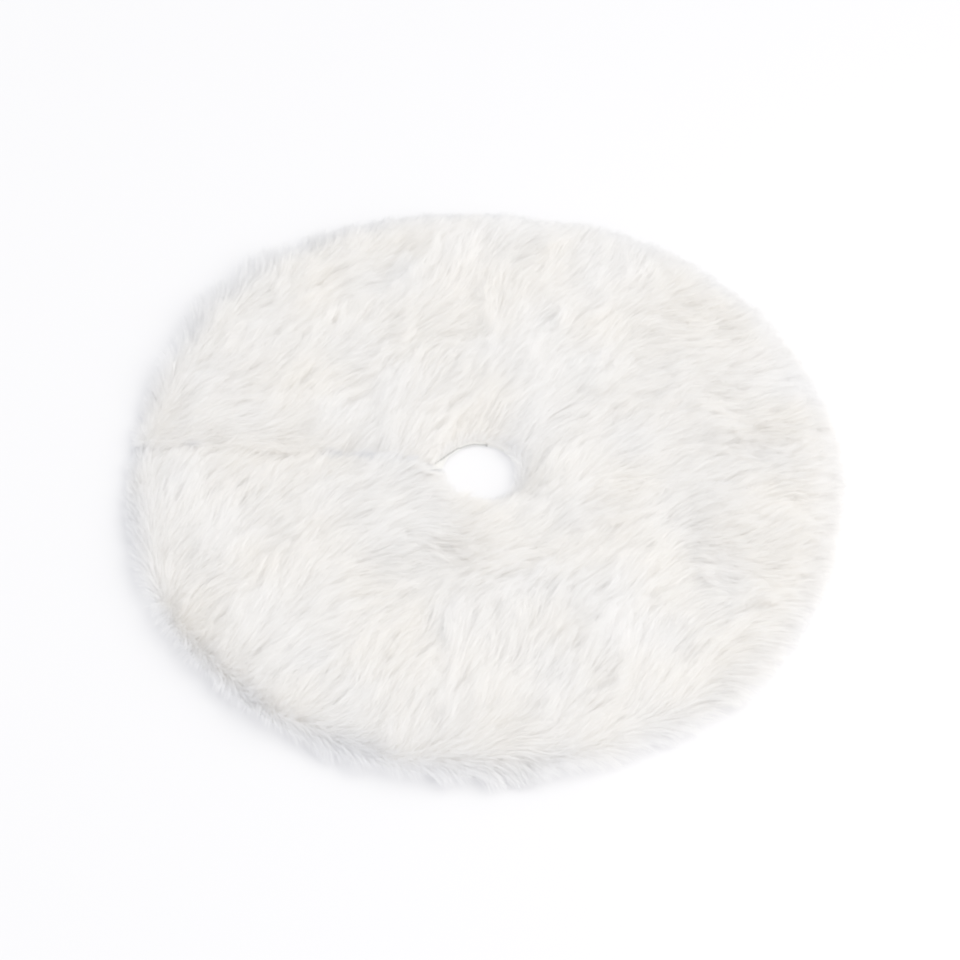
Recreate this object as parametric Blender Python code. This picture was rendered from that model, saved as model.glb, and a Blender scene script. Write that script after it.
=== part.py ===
"""Plush fur tree skirt: a ring of long-pile cloth with a slit from its centre hole to its hem.

Metres, +Z up. The origin lies on the floor under the middle of the trunk hole, and the slit runs along -X.
The skirt lies flat with its pile up. The quarter of it behind the slit is the flap: it folds up along the line
from the hole to the hem on +Y, and at rest hook and loop tapes hold it to a strip sewn under the front edge.
Along that line the ground cloth bends, and the pile over it, the fold band, spreads and closes.
"""

import math

import bmesh
import bpy
from mathutils import Matrix

# The cloth disc.
CLOTH_RADIUS = 0.450
HOLE_RADIUS = 0.050
PILE_TOP = 0.036

# Cloth and tape thicknesses, and the gap kept between pieces that touch.
GROUND_THICK = 0.0014
TAPE_THICK = 0.0007
LINING_THICK = 0.0009
HOOK_THICK = 0.0012
LOOP_THICK = 0.0014
GAP = 0.0003

# Facings: flat tapes under the edges, each with a lip turned up against the edge of the ground cloth.
FACING_WIDTH = 0.012
LIP_GAP = 0.0004
HEM_LIP_HEIGHT = 0.0030
HOLE_LIP_HEIGHT = 0.0033

# How far the pile stands past the ground cloth, and where it starts to round off.
HEM_PILE_OUT = 0.018
HEM_PILE_ROUND = 0.043
HEM_PILE_WIDEST = 0.010
HEM_PILE_LOW = 0.0004
HEM_PILE_ROOT = 0.0032
HOLE_PILE_IN = 0.006
HOLE_PILE_ROUND = 0.018
HOLE_PILE_WIDEST = 0.014
HOLE_PILE_ROOT = 0.005

# The slit and the line along which the flap folds, as angles from +X, and the half gaps along them.
SLIT_ANGLE = 180
FOLD_ANGLE = 90
SEGMENT_ANGLE = 5
SLIT_HALF_GAP = 0.0005
FOLD_HALF_GAP = GAP / 2
FOLD_AXIS_ABOVE_GROUND = 0.0002
FOLD_BAND_HALF_WIDTH = 0.060

# The closure under the slit: the underlap, the back facing and the tapes between them.
CLOSURE_END_GAP = 0.002
UNDERLAP_FRONT = -0.014
UNDERLAP_BACK = 0.030
BACK_FACING_WIDTH = 0.032
POCKET_WIDTH = 0.034
HOOK_COUNT = 3
TAPE_LENGTH = 0.045
TAPE_WIDTH = 0.020
TAPE_MIDDLE_Y = 0.016
TAPE_CORNER = 0.003
TAPE_PITCH = 0.140

# The care label.
LABEL_LENGTH = 0.045
LABEL_WIDTH = 0.028
LABEL_THICK = 0.00045
LABEL_ANGLE = 207.5
LABEL_LOW = 0.00015

# Heights of the layers, from the floor up.
LINING_LOW = TAPE_THICK + GAP
LINING_TOP = LINING_LOW + LINING_THICK
GROUND_LOW = LINING_TOP + GAP
GROUND_TOP = GROUND_LOW + GROUND_THICK
HOOK_LOW = TAPE_THICK + GAP
LOOP_LOW = HOOK_LOW + HOOK_THICK + GAP
BACK_FACING_LOW = LOOP_LOW + LOOP_THICK + GAP
RAISED_LINING_LOW = BACK_FACING_LOW + TAPE_THICK + GAP
RAISED_LINING_TOP = RAISED_LINING_LOW + LINING_THICK
RAISED_GROUND_LOW = RAISED_LINING_TOP + GAP

# How far a cutter reaches past the face it cuts, and the sweep of the ring that the fold band is cut from.
PAST_FACE = 0.002
FOLD_BAND_SWEEP = 90

# The closure's ends along X, and its middle.
CLOSURE_OUTER_X = -(CLOTH_RADIUS - FACING_WIDTH - CLOSURE_END_GAP)
CLOSURE_INNER_X = -(HOLE_RADIUS + FACING_WIDTH + CLOSURE_END_GAP)
CLOSURE_MIDDLE_X = (CLOSURE_OUTER_X + CLOSURE_INNER_X) / 2
CLOSURE_LENGTH = CLOSURE_INNER_X - CLOSURE_OUTER_X


def clear_scene():
    for old in list(bpy.data.objects):
        bpy.data.objects.remove(old)


def make_material(name, colour, roughness):
    material = bpy.data.materials.new(name)
    material.use_nodes = True
    shader = material.node_tree.nodes["Principled BSDF"]
    shader.inputs["Base Color"].default_value = (*colour, 1)
    shader.inputs["Roughness"].default_value = roughness
    shader.inputs["Metallic"].default_value = 0
    return material


def add_object(name, mesh, material):
    mesh.materials.append(material)
    piece = bpy.data.objects.new(name, mesh)
    bpy.context.scene.collection.objects.link(piece)
    return piece


def arc(centre, radii, first, last, steps):
    """Points (r, z) of an ellipse's arc, from one angle to another in degrees."""
    points = []
    for step in range(steps + 1):
        angle = math.radians(first + (last - first) * step / steps)
        points.append((centre[0] + radii[0] * math.cos(angle), centre[1] + radii[1] * math.sin(angle)))
    return points


def pile_profile():
    """The fur cloth's section: flat ground underneath, and pile that rounds over the hem and into the hole."""
    hem_root = CLOTH_RADIUS + HEM_PILE_ROOT
    hem_out = CLOTH_RADIUS + HEM_PILE_OUT
    hem_upper = arc(
        (hem_out - HEM_PILE_ROUND, HEM_PILE_WIDEST), (HEM_PILE_ROUND, PILE_TOP - HEM_PILE_WIDEST), 0, 90, 6
    )
    hem_lower = arc(
        (hem_root, HEM_PILE_WIDEST), (hem_out - hem_root, HEM_PILE_WIDEST - HEM_PILE_LOW), -90, 0, 3
    )
    hole_in = HOLE_RADIUS - HOLE_PILE_IN
    hole_upper = arc(
        (hole_in + HOLE_PILE_ROUND, HOLE_PILE_WIDEST),
        (HOLE_PILE_ROUND, PILE_TOP - HOLE_PILE_WIDEST),
        90,
        180,
        4,
    )
    hole_lower = arc(
        (HOLE_RADIUS, HOLE_PILE_WIDEST), (HOLE_PILE_IN, HOLE_PILE_WIDEST - HOLE_PILE_ROOT), 180, 270, 3
    )
    ground = [
        (HOLE_RADIUS, GROUND_LOW),
        (CLOTH_RADIUS, GROUND_LOW),
        (CLOTH_RADIUS, GROUND_TOP),
        (hem_root, GROUND_TOP),
    ]
    return ground + hem_lower + hem_upper[1:] + hole_upper + hole_lower[1:]


def lining_profile():
    inner = HOLE_RADIUS + LIP_GAP
    outer = CLOTH_RADIUS - LIP_GAP
    return [(inner, LINING_LOW), (outer, LINING_LOW), (outer, LINING_TOP), (inner, LINING_TOP)]


def facing_profile(edge, inward, lip_height):
    """An L section: a flat tape that reaches inward from the edge, and a lip outside the edge.

    inward is -1 where the cloth lies at smaller radii than its edge, as at the hem, and 1 at the hole.
    """
    far = edge + inward * FACING_WIDTH
    lip_near = edge - inward * LIP_GAP
    lip_far = lip_near - inward * TAPE_THICK
    return [
        (far, 0),
        (lip_far, 0),
        (lip_far, lip_height),
        (lip_near, lip_height),
        (lip_near, TAPE_THICK),
        (far, TAPE_THICK),
    ]


def ring_sector(name, profile, first, last, first_shift, last_shift, material):
    """Turns a section of (r, z) points about Z between two angles, and closes both ends.

    Each end's points are moved by its (x, y) shift, which makes the gap to the piece beyond it.
    """
    steps = round((last - first) / SEGMENT_ANGLE)
    mesh = bpy.data.meshes.new(name)
    shape = bmesh.new()
    sections = []
    for step in range(steps + 1):
        angle = math.radians(first + (last - first) * step / steps)
        shift = (0, 0)
        if step == 0:
            shift = first_shift
        if step == steps:
            shift = last_shift
        x, y = math.cos(angle), math.sin(angle)
        places = [(r * x + shift[0], r * y + shift[1], z) for r, z in profile]
        sections.append([shape.verts.new(place) for place in places])
    count = len(profile)
    for near, far in zip(sections, sections[1:]):
        for i in range(count):
            j = (i + 1) % count
            shape.faces.new((near[i], near[j], far[j], far[i]))
    shape.faces.new(sections[0])
    shape.faces.new(sections[-1])
    bmesh.ops.recalc_face_normals(shape, faces=shape.faces)
    shape.to_mesh(mesh)
    shape.free()
    piece = add_object(name, mesh, material)
    mesh.shade_smooth()
    mesh.set_sharp_from_angle(angle=math.radians(35))
    return piece


def main_sector(name, profile, material):
    """The part of a ring that stays on the floor: from the slit's front edge round to the fold."""
    fold = math.radians(FOLD_ANGLE)
    past_fold = (FOLD_HALF_GAP * math.sin(fold), -FOLD_HALF_GAP * math.cos(fold))
    return ring_sector(name, profile, SLIT_ANGLE - 360, FOLD_ANGLE, (0, -SLIT_HALF_GAP), past_fold, material)


def flap_sector(name, profile, material):
    """The part of a ring that lifts: from the fold to the slit's back edge."""
    fold = math.radians(FOLD_ANGLE)
    past_fold = (-FOLD_HALF_GAP * math.sin(fold), FOLD_HALF_GAP * math.cos(fold))
    return ring_sector(name, profile, FOLD_ANGLE, SLIT_ANGLE, past_fold, (0, SLIT_HALF_GAP), material)


def box(name, size, location, material, corner=0.0):
    """A box centred in x and y on its location and standing on it, with its upright edges rounded."""
    mesh = bpy.data.meshes.new(name)
    shape = bmesh.new()
    standing = Matrix.Translation((0, 0, 0.5))
    bmesh.ops.create_cube(shape, size=1.0, matrix=Matrix.Diagonal((*size, 1)) @ standing)
    if corner:
        upright = [edge for edge in shape.edges if abs(edge.verts[0].co.z - edge.verts[1].co.z) > size[2] / 2]
        bmesh.ops.bevel(shape, geom=upright, offset=corner, segments=3, profile=0.5, affect="EDGES")
    shape.to_mesh(mesh)
    shape.free()
    piece = add_object(name, mesh, material)
    piece.location = location
    return piece


def span_box(name, x_span, y_span, z_span, material):
    """A box between two values of x, of y and of z."""
    size = (x_span[1] - x_span[0], y_span[1] - y_span[0], z_span[1] - z_span[0])
    return box(name, size, (sum(x_span) / 2, sum(y_span) / 2, z_span[0]), material)


def closure_box(name, grow, front, z_span, material):
    """A box over the closure from a front line at y, grown past its ends and its back by a distance."""
    past_ends = CLOSURE_END_GAP + grow
    x_span = (CLOSURE_OUTER_X - past_ends, CLOSURE_INNER_X + past_ends)
    return span_box(name, x_span, (front, POCKET_WIDTH + grow), z_span, material)


def join_or_cut(piece, other, operation):
    """Adds or cuts away another object with a Boolean, and keeps that object out of the model."""
    modifier = piece.modifiers.new(operation.title(), "BOOLEAN")
    modifier.operation = operation
    modifier.solver = "EXACT"
    modifier.object = other
    other.hide_render = True
    other.display_type = "WIRE"


def make_fur_cloth(material):
    """The cloth on both sides of the fold: full pile, but only the ground within the fold band's width."""
    main_part = main_sector("fur_cloth_main", pile_profile(), material)
    flap = flap_sector("fur_cloth_flap", pile_profile(), material)
    to_hem = (-PAST_FACE, 2 * CLOTH_RADIUS)
    over_ground = (GROUND_TOP, 2 * PILE_TOP)
    main_room = span_box("main_band_cutter", (-PAST_FACE, FOLD_BAND_HALF_WIDTH), to_hem, over_ground, material)
    flap_room = span_box("flap_band_cutter", (-FOLD_BAND_HALF_WIDTH, PAST_FACE), to_hem, over_ground, material)
    join_or_cut(main_part, main_room, "DIFFERENCE")
    join_or_cut(flap, flap_room, "DIFFERENCE")
    under_flap = (-PAST_FACE, RAISED_GROUND_LOW)
    pocket = closure_box("fur_pocket_cutter", LINING_THICK + GAP, -PAST_FACE, under_flap, material)
    join_or_cut(flap, pocket, "DIFFERENCE")
    return [flap]


def make_fold_band(material):
    """The pile over the fold line, on both sides of it, from the hole to the hem."""
    around_fold = (FOLD_ANGLE - FOLD_BAND_SWEEP, FOLD_ANGLE + FOLD_BAND_SWEEP)
    band = ring_sector("fur_fold_band", pile_profile(), *around_fold, (0, 0), (0, 0), material)
    half_width = FOLD_BAND_HALF_WIDTH - GAP
    kept = span_box(
        "fold_band_outline",
        (-half_width, half_width),
        (SLIT_HALF_GAP + GAP, 2 * CLOTH_RADIUS),
        (GROUND_TOP + GAP, 2 * PILE_TOP),
        material,
    )
    join_or_cut(band, kept, "INTERSECT")


def make_lining(material):
    """On the flap the lining steps up over the closure, which lies between it and the floor."""
    main_sector("lining_main", lining_profile(), material)
    flap = flap_sector("lining_flap", lining_profile(), material)
    step = closure_box("lining_step", LINING_THICK, SLIT_HALF_GAP, (LINING_LOW, RAISED_LINING_TOP), material)
    pocket = closure_box("lining_pocket_cutter", 0.0, -PAST_FACE, (-PAST_FACE, RAISED_LINING_LOW), material)
    join_or_cut(flap, step, "UNION")
    join_or_cut(flap, pocket, "DIFFERENCE")
    return [flap]


def make_edge_facings(material):
    hem = facing_profile(CLOTH_RADIUS, -1, HEM_LIP_HEIGHT)
    hole = facing_profile(HOLE_RADIUS, 1, HOLE_LIP_HEIGHT)
    main_sector("hem_facing_main", hem, material)
    main_sector("hole_facing_main", hole, material)
    return [flap_sector("hem_facing_flap", hem, material), flap_sector("hole_facing_flap", hole, material)]


def make_slit_tapes(material):
    """The underlap, sewn under the front edge and lying under the flap, and the facing of the back edge."""
    box(
        "slit_underlap",
        (CLOSURE_LENGTH, UNDERLAP_BACK - UNDERLAP_FRONT, TAPE_THICK),
        (CLOSURE_MIDDLE_X, (UNDERLAP_BACK + UNDERLAP_FRONT) / 2, 0),
        material,
        TAPE_CORNER,
    )
    back = box(
        "slit_back_facing",
        (CLOSURE_LENGTH, BACK_FACING_WIDTH - SLIT_HALF_GAP, TAPE_THICK),
        (CLOSURE_MIDDLE_X, (BACK_FACING_WIDTH + SLIT_HALF_GAP) / 2, BACK_FACING_LOW),
        material,
    )
    return [back]


def make_hook_and_loop(hook_material, loop_material):
    """Pairs of tapes along the slit: hooks on the underlap, loops over them on the flap."""
    loops = []
    for number in range(1, HOOK_COUNT + 1):
        x = CLOSURE_MIDDLE_X + ((HOOK_COUNT + 1) / 2 - number) * TAPE_PITCH
        size = (TAPE_LENGTH, TAPE_WIDTH)
        place = (x, TAPE_MIDDLE_Y)
        box(f"hook_tape_{number}", (*size, HOOK_THICK), (*place, HOOK_LOW), hook_material, TAPE_CORNER)
        loops.append(
            box(f"loop_tape_{number}", (*size, LOOP_THICK), (*place, LOOP_LOW), loop_material, TAPE_CORNER)
        )
    return loops


def make_care_label(material):
    """A blank label under the lining, its end against the hem facing."""
    angle = math.radians(LABEL_ANGLE)
    radius = CLOTH_RADIUS - FACING_WIDTH - CLOSURE_END_GAP / 2 - LABEL_LENGTH / 2
    label = box(
        "care_label",
        (LABEL_LENGTH, LABEL_WIDTH, LABEL_THICK),
        (radius * math.cos(angle), radius * math.sin(angle), LABEL_LOW),
        material,
    )
    label.rotation_euler.z = angle


def hang_on_fold(pieces):
    """Parents the moving pieces to an empty on the fold's axis, whose own X runs along the fold."""
    fold = bpy.data.objects.new("fold_axis", None)
    bpy.context.scene.collection.objects.link(fold)
    fold.location.z = GROUND_TOP + FOLD_AXIS_ABOVE_GROUND
    fold.rotation_euler.z = math.radians(FOLD_ANGLE)
    bpy.context.view_layer.update()
    for piece in pieces:
        piece.parent = fold
        piece.matrix_parent_inverse = fold.matrix_world.inverted()


def main():
    clear_scene()
    fur = make_material("white_fur", (0.88, 0.87, 0.85), 0.9)
    lining = make_material("white_lining", (0.82, 0.82, 0.80), 0.85)
    tape = make_material("white_tape", (0.78, 0.78, 0.77), 0.75)
    hook = make_material("white_hook_tape", (0.80, 0.80, 0.80), 0.45)
    loop = make_material("white_loop_tape", (0.84, 0.84, 0.83), 0.95)
    label = make_material("white_label", (0.86, 0.86, 0.85), 0.6)
    moving = make_fur_cloth(fur)
    make_fold_band(fur)
    moving += make_lining(lining)
    moving += make_edge_facings(tape)
    moving += make_slit_tapes(tape)
    moving += make_hook_and_loop(hook, loop)
    make_care_label(label)
    hang_on_fold(moving)


main()
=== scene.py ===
"""Looks of the white plush fur tree skirt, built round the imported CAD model.

Metres, +Z up. The origin lies on the floor under the middle of the trunk hole, and the slit runs
along -X. The quarter of the skirt behind the slit, from the slit round to +Y, is the flap, which
folds up along the line from the hole to the hem on +Y.
"""

import math

import bpy
import numpy as np
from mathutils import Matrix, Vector


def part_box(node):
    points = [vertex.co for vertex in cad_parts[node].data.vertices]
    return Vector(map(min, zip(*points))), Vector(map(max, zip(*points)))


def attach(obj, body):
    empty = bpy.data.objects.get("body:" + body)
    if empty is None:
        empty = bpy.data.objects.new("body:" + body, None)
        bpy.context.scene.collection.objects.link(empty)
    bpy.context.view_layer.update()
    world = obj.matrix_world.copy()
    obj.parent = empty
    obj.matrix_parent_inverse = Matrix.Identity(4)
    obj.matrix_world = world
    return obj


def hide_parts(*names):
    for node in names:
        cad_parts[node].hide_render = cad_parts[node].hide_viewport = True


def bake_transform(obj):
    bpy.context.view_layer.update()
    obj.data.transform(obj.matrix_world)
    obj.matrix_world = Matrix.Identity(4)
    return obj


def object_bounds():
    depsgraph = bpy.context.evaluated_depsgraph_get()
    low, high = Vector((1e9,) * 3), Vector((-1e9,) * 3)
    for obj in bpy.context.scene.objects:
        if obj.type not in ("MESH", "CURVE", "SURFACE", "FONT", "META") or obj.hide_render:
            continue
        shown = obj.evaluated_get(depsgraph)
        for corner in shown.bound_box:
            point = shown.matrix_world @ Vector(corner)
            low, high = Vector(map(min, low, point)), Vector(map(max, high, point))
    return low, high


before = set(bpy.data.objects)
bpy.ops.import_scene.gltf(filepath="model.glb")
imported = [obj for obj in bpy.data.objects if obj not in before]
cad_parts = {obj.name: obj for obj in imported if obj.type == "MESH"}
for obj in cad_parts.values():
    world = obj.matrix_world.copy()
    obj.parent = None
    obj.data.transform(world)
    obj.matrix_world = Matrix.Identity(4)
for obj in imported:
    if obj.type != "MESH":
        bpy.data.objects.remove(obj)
cad_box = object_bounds()

ROOT, FLAP = "skirt", "flap"

# The cloth, from the CAD solids.
LIP_OUT = 0.0011
CLOTH_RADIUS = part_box("hem_facing_main")[1][0] - LIP_OUT
HOLE_RADIUS = 0.050
FACING_WIDTH = 0.012
SLIT_HALF_GAP = 0.0005
LINING_LOW, LINING_TOP = 0.0010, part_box("lining_main")[1][2]
GROUND_LOW, GROUND_TOP = 0.0022, 0.0036
PILE_TOP = cad_box[1][2]
PILE_EDGE = cad_box[1][0]
CLOSURE_LIFT = 0.0042
RIM_LIFT = 0.0016
POCKET_WIDTH = 0.034
LINING_INSET = 0.0012
WAVE_HEIGHT = 0.0010
ARC_STEP = 2.0
CLOTH_ROWS = 60
# The part that stays down and the part that lifts, from one angle to another in degrees.
PARTS = {"main": (-180, 90), "flap": (90, 180)}

# Pile: the spacing of the fibres, and of the locks and the smaller tufts that they gather in.
FIBRE_SPACING = 0.0018
LOCK_SPACING = 0.014
TUFT_SPACING = 0.0050
FIBRE_LENGTH = 0.054
FIBRE_WIDTH = 0.00080
FIBRE_STEPS = 5
UNDER_SPACING = 0.0024
UNDER_STEPS = 3
UNDER_WIDTH = 0.00125
UNDER_LENGTH_SHARE = 0.74
UNDER_GATHER_SHARE = 0.2
UNDER_FAN_SHARE = 0.7
SECTOR_ANGLE = 18

# How unlike its neighbours a lock, a tuft and a fibre is: turn and lean in radians, and share of length.
LOCK_TURN, TUFT_TURN, FIBRE_TURN = 0.18, 0.09, 0.08
LOCK_LEAN, TUFT_LEAN, FIBRE_LEAN = 0.05, 0.05, 0.05
LOCK_SIZES, TUFT_SIZES, FIBRE_SIZES = (0.90, 1.08), (0.92, 1.06), (0.80, 1.06)
# How firmly fibres keep to their lock's curve, in the loosest lock and the tightest, and how this grows.
LOCK_HOLDS = (0.04, 0.27)
HOLD_GROWTH = 1.4
WIDTH_KEPT_IN_LOCK = 0.45
STRAY_SIDEWAYS, STRAY_UP = 0.0006, 0.0008
# How far outside the CAD pile's edge and top the fibres may go, and how this differs from lock to lock.
OVER_EDGE, OVER_TOP = 0.004, 0.006
LOCK_ENDS = (-0.009, 0.005)
LOCK_TONE, FIBRE_TONE, SWELL_TONE = 0.2, 0.3, 0.8
# The painted shade at the hem, a greyer colour that stands in for the shade on the pile's outer edge: its
# strength, the radii where it begins and is whole, and its share on the lit side.
RIM_PAINTED_SHADE, RIM_FROM, RIM_TO, RIM_LIT_SHARE = 0.56, 0.422, 0.460, 0.40

# The way the pile lies where a hand last brushed it: x, y, and the direction from +X in degrees.
BRUSHED = (
    (-0.40, 0.13, 28),
    (-0.30, -0.14, 66),
    (-0.26, 0.25, 37),
    (-0.24, -0.21, 37),
    (-0.14, 0.33, 58),
    (-0.10, -0.12, -4),
    (-0.10, 0.16, 32),
    (-0.08, 0.09, 62),
    (-0.03, -0.33, 66),
    (0.04, 0.17, 52),
    (0.13, 0.34, 69),
    (0.16, -0.29, 62),
    (0.18, -0.14, 21),
    (0.24, 0.24, 15),
    (0.35, -0.04, 15),
    (0.40, 0.10, -7),
    (0.42, -0.17, -11),
)
BRUSH_REACH = 0.055
UNBRUSHED_WAY = 27
UNBRUSHED_SHARE = 0.08
SWIRL_TURN, RIPPLE_TURN = 0.52, 0.42

# The fan at the hem: from which radius to which the pile turns outward, how much sooner where it already
# points outward, and how strongly it turns.
FAN_FROM, FAN_TO = 0.414, 0.455
FAN_SOONER = 0.019
FAN_STRENGTH, FAN_WHERE_OUTWARD, FAN_OF_FALLEN = 1.30, 0.35, 0.50

# The soft crease through the hole along Y, which the pile falls away from.
CREASE_REACH = 0.022
CREASE_PUSH = 0.35
CREASE_TURN = 0.012
CREASE_LEAN_REACH = 0.020

# Lean from upright in degrees, at a fibre's root and at its tip, and what each cause adds to it.
ROOT_LEAN = {"least": 10, "combed": 20, "hem": 4, "crease": -6, "hole": -10}
TIP_LEAN = {"least": 24, "combed": 58, "hem": 40, "crease": -7, "hole": -4}
SWELL_LEAN, RIPPLE_LEAN = 13, 2

# Where the slit stands open a little: the middle on X, the half width, and how far, from 0 to 1.
OPENINGS = (
    (-0.371, 0.010, 0.5),
    (-0.186, 0.012, 1.0),
    (-0.147, 0.012, 1.0),
    (-0.140, 0.050, 0.3),
    (-0.064, 0.030, 1.0),
)
# By the hole the front side's pile slopes back from the slit: where on X it begins and ends, and how far.
SLOPED_X = (-0.125, -0.080, -0.064, -0.054)
SLOPE = 0.90
# How far fibres may lie over the slit where it is closed, from each side: the least, and what chance adds.
FRONT_OVER, BACK_OVER = (0.004, 0.034), (0.003, 0.012)

# Where the pile reaches farther over the hem, or less far: angle and half width in degrees, and distance.
REACHES = (
    (8, 14, 0.005),
    (88, 36, -0.015),
    (143, 17, 0.034),
    (182, 18, -0.013),
    (262, 38, 0.011),
    (315, 11, 0.010),
)
# The share of a fibre's length that each of these takes away.
SHORTER = {"hem": 0.33, "shaded": 0.10, "hole": 0.70, "slit": 0.10, "opening": 0.35, "corner": 0.9}
# The reach over the hem that one more length of fibre gives.
REACH_OF_LENGTH = 0.060

# The flap's corner, which its dark edge cord rounds: x where it leaves the slit, and where it meets the
# hole. The cord's dark grey is painted shadow.
CORNER_BEND = -0.062
CORNER_MEET = (HOLE_RADIUS * math.cos(math.radians(130)), HOLE_RADIUS * math.sin(math.radians(130)))
CORD_RADIUS, KNOT_RADIUS = 0.0009, 0.0015
CORD_BESIDE_SLIT = 0.0012
CORD_INSIDE_HOLE = 0.0006
CORD_HEIGHT = 0.0030

# The small hooks and loops: their pitch on the tapes, and the thickness of a tape's back.
HOOK_PITCH, LOOP_PITCH = 0.0015, 0.0011
PAD_BACK = 0.0005
LABEL_ANGLE = 207.5
LABEL_HALF = (0.0225, 0.0140)
STITCH_PITCH = 0.0034
STITCH_RADIUS = 0.00020
STITCH_HEIGHT = 0.00020

# The view. The gamma makes the whole picture lighter and softer.
VIEW_GAMMA = 2.0
CAMERA_AZIMUTH = 5.1
CAMERA_ELEVATION = 52.3
CAMERA_DISTANCE = 3.295
CAMERA_LENS = 95.7
CAMERA_AIM = (0.0, 0.0, 0.012)
CAMERA_SHIFT = -0.010

# The light: an even cool part, a wide warm glow from one side, and a soft lamp on that side.
SKY_COLOUR = (0.90, 0.94, 1.0)
SKY_STRENGTH = 0.625
GLOW_COLOUR = (1.0, 0.965, 0.90)
GLOW_STRENGTH = 1.62
GLOW_FROM = (0.72, 0.02, 0.68)
LAMP_PLACE = (1.25, -0.10, 1.10)
LAMP_SIZE = 1.2
LAMP_POWER = 5.5
FLOOR_HALF = 6.0
FLOOR_COLOUR = (0.80, 0.795, 0.82, 1)


def smoothstep(low, high, value):
    t = np.clip((value - low) / (high - low), 0, 1)
    return t * t * (3 - 2 * t)


class Noise:
    """Smooth values from -1 to 1 over the plane, which change over about one cell."""

    HALF = 0.7

    def __init__(self, seed, cell):
        self.cell = cell
        count = int(2 * self.HALF / cell) + 3
        self.grid = np.random.default_rng(seed).uniform(-1, 1, (count, count))

    def __call__(self, x, y):
        gx = (x + self.HALF) / self.cell
        gy = (y + self.HALF) / self.cell
        i = np.floor(gx).astype(int)
        j = np.floor(gy).astype(int)
        u = gx - i
        v = gy - j
        u = u * u * (3 - 2 * u)
        v = v * v * (3 - 2 * v)
        g = self.grid
        low = g[i, j] * (1 - u) + g[i + 1, j] * u
        high = g[i, j + 1] * (1 - u) + g[i + 1, j + 1] * u
        return low * (1 - v) + high * v


def scatter(seed, spacing):
    """Points on a jittered grid over the cloth ring."""
    rng = np.random.default_rng(seed)
    line = np.arange(-CLOTH_RADIUS, CLOTH_RADIUS + spacing, spacing)
    x, y = np.meshgrid(line, line)
    x = x.ravel() + rng.uniform(-0.5, 0.5, x.size) * spacing
    y = y.ravel() + rng.uniform(-0.5, 0.5, y.size) * spacing
    r = np.hypot(x, y)
    inside = (r > HOLE_RADIUS) & (r < CLOTH_RADIUS)
    return x[inside], y[inside]


class Gathering:
    """The middles that fibres gather round: one in each cell of a jittered grid."""

    HALF = 0.6

    def __init__(self, seed, spacing, seeds):
        self.spacing = spacing
        self.seeds = seeds
        self.count = int(2 * self.HALF / spacing) + 2
        self.jitter = np.random.default_rng(seed).uniform(0.05, 0.95, (self.count, self.count, 2))

    def nearest(self, x, y):
        """The index and the place of the middle nearest to each point."""
        i0 = np.floor((x + self.HALF) / self.spacing).astype(int)
        j0 = np.floor((y + self.HALF) / self.spacing).astype(int)
        best = np.full(x.shape, np.inf)
        where = np.zeros(x.shape, int)
        place_x = np.zeros(x.shape)
        place_y = np.zeros(x.shape)
        for di in (-1, 0, 1):
            for dj in (-1, 0, 1):
                i = i0 + di
                j = j0 + dj
                cx = (i + self.jitter[i, j, 0]) * self.spacing - self.HALF
                cy = (j + self.jitter[i, j, 1]) * self.spacing - self.HALF
                distance = (cx - x) ** 2 + (cy - y) ** 2
                closer = distance < best
                best = np.where(closer, distance, best)
                where = np.where(closer, i * self.count + j, where)
                place_x = np.where(closer, cx, place_x)
                place_y = np.where(closer, cy, place_y)
        return where, place_x, place_y

    def values(self, what, where, low, high):
        """A random value of one kind for each middle, given to every point that gathers round it."""
        rng = np.random.default_rng(self.seeds[what])
        return rng.uniform(low, high, self.count * self.count)[where]


swirl = Noise(11, 0.070)
ripple = Noise(13, 0.030)
lean_swell = Noise(14, 0.052)
lean_ripple = Noise(17, 0.019)
height_noise = Noise(15, 0.050)
tone_swell = Noise(18, 0.040)
tint_swell = Noise(19, 0.062)
lock_seeds = {"turn": 31, "lean": 32, "size": 33, "hold": 37, "tone": 38, "fallen": 39, "end": 40}
locks = Gathering(21, LOCK_SPACING, lock_seeds)
tufts = Gathering(22, TUFT_SPACING, {"turn": 34, "lean": 35, "size": 36})


def further(x, y):
    """How much farther than elsewhere the pile reaches over the hem, in metres."""
    angle = np.degrees(np.arctan2(y, x)) % 360
    return sum(most * np.exp(-(((angle - middle) / half) ** 2)) for middle, half, most in REACHES)


def slit_open(x):
    """How far the slit's two edges stand apart, from 0 to 1."""
    parts = [most * np.exp(-(((x - middle) / half) ** 2)) for middle, half, most in OPENINGS]
    return np.clip(sum(parts), 0, 1)


def bare_corner(x, y):
    """1 on the flap's corner outside its dark edge cord, and 0 elsewhere."""
    ahead_x, ahead_y = CORNER_MEET[0] - CORNER_BEND, CORNER_MEET[1]
    beside = (ahead_x * y - ahead_y * (x - CORNER_BEND)) / math.hypot(ahead_x, ahead_y)
    return (beside < CORD_BESIDE_SLIT) & (y > 0) & (x < CORNER_MEET[0])


def brushed_way(x, y):
    """The direction (x, y) that the brushed places near each point give its pile."""
    way = math.radians(UNBRUSHED_WAY)
    way_x = np.full(x.shape, UNBRUSHED_SHARE * math.cos(way))
    way_y = np.full(x.shape, UNBRUSHED_SHARE * math.sin(way))
    for brush_x, brush_y, degrees in BRUSHED:
        near = np.exp(-((x - brush_x) ** 2 + (y - brush_y) ** 2) / (2 * BRUSH_REACH**2))
        way_x = way_x + near * math.cos(math.radians(degrees))
        way_y = way_y + near * math.sin(math.radians(degrees))
    size = np.hypot(way_x, way_y) + 1e-9
    return way_x / size, way_y / size


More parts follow.
